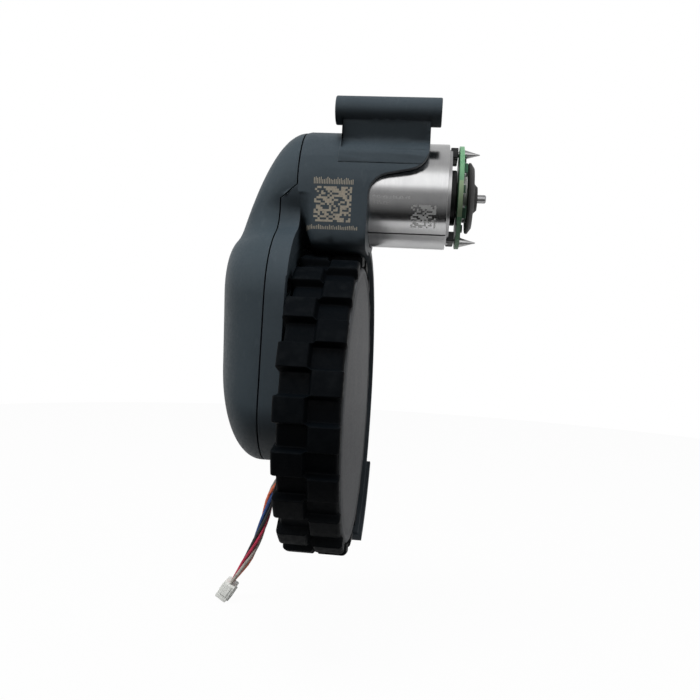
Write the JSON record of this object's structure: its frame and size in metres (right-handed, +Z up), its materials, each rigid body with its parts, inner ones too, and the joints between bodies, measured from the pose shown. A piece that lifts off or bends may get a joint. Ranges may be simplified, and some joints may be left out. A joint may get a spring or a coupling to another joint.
{
  "type": "robot vacuum wheel module",
  "caption": "Swing-arm drive wheel for a robot vacuum: lugged rubber tyre, gearbox housing, brushed motor with encoder disc, pivot tube and short wire harness with plug.",
  "frame": {"origin": "centre of the pivot tube, midway between its two ends", "axes": "+X along the pivot tube towards the hub cap and encoder side, +Z up with the wheel below the tube, +Y from the front of the wheel to the harness side"},
  "size_m": [0.0646, 0.0727, 0.1265],
  "materials": {
    "housing": "dark blue-grey moulded plastic with a fine spark texture",
    "cover": "dark blue-grey moulded plastic, smooth crown",
    "steel": "turned and ground steel",
    "zinc_plate": "bright zinc plated sheet",
    "ferrite": "sintered, dull",
    "black_plastic": "black, satin",
    "carbon": "dull",
    "brass": "turned",
    "copper": "turned",
    "board": "solder mask on laminate",
    "solder": "bright solder",
    "sleeve": "shrink tube",
    "wire_red": "soft insulation",
    "wire_black": "soft insulation",
    "wire_blue": "soft insulation",
    "wire_grey": "soft insulation",
    "wire_orange": "soft insulation",
    "plug": "natural nylon",
    "tyre": "moulded rubber, matt",
    "rim": "black, satin",
    "hub_cap": "grey, satin",
    "acetal": "natural, greased",
    "disc_magnet": "moulded magnet compound",
    "carrier": "natural"
  },
  "bodies": {
    "arm": {"arm_housing": "housing", "gearbox_cover": "cover", "cover_screw_1": "steel", "cover_screw_2": "steel", "cover_screw_3": "steel", "cover_screw_4": "steel", "motor_screw_1": "steel", "motor_screw_2": "steel", "motor_can": "zinc_plate", "flux_ring": "zinc_plate", "magnet_upper": "ferrite", "magnet_lower": "ferrite", "motor_end_cap": "black_plastic", "brush_front": "carbon", "brush_back": "carbon", "front_bush": "brass", "rear_bush": "brass", "encoder_board": "board", "terminal_upper": "solder", "terminal_lower": "solder", "hall_sensor_1": "black_plastic", "hall_sensor_2": "black_plastic", "gear_pin_1": "steel", "gear_pin_2": "steel", "gear_pin_3": "steel", "outer_bearing": "steel", "inner_bearing": "steel", "harness_sleeve": "sleeve", "wire_red": "wire_red", "wire_black": "wire_black", "wire_blue": "wire_blue", "wire_grey": "wire_grey", "wire_orange": "wire_orange", "wire_plug": "plug"},
    "wheel": {"tyre": "tyre", "wheel_rim": "rim", "hub_cap": "hub_cap", "output_gear": "acetal", "axle": "steel", "axle_spacer": "steel", "wheel_screw": "steel"},
    "rotor": {"motor_shaft": "steel", "motor_pinion": "brass", "armature": "steel", "commutator": "copper", "encoder_disc": "disc_magnet", "encoder_carrier": "carrier"},
    "first_gear": {"gear_1": "acetal"},
    "second_gear": {"gear_2": "acetal"},
    "third_gear": {"gear_3": "acetal"}
  },
  "joints": [
    {"name": "wheel_spin", "type": "hinge", "parent": "arm", "child": "wheel", "pos_m": [-0.0109, 0.01, -0.0667], "axis": [1, 0, 0], "continuous": true},
    {"name": "third_gear_spin", "type": "hinge", "parent": "arm", "child": "third_gear", "pos_m": [-0.023, 0.00358, -0.05292], "axis": [1, 0, 0], "continuous": true},
    {"name": "second_gear_spin", "type": "hinge", "parent": "arm", "child": "second_gear", "pos_m": [-0.0256, 0.01326, -0.04187], "axis": [1, 0, 0], "continuous": true},
    {"name": "first_gear_spin", "type": "hinge", "parent": "arm", "child": "first_gear", "pos_m": [-0.024, 0.012, -0.02813], "axis": [1, 0, 0], "continuous": true},
    {"name": "motor_spin", "type": "hinge", "parent": "arm", "child": "rotor", "pos_m": [0, 0.01, -0.0168], "axis": [1, 0, 0], "continuous": true}
  ],
  "couplings": [
    {"joint": "third_gear_spin", "follows": "wheel_spin", "ratio": -2.1667},
    {"joint": "second_gear_spin", "follows": "wheel_spin", "ratio": 5.4167},
    {"joint": "first_gear_spin", "follows": "wheel_spin", "ratio": -15.347},
    {"joint": "motor_spin", "follows": "wheel_spin", "ratio": 55.25}
  ]
}
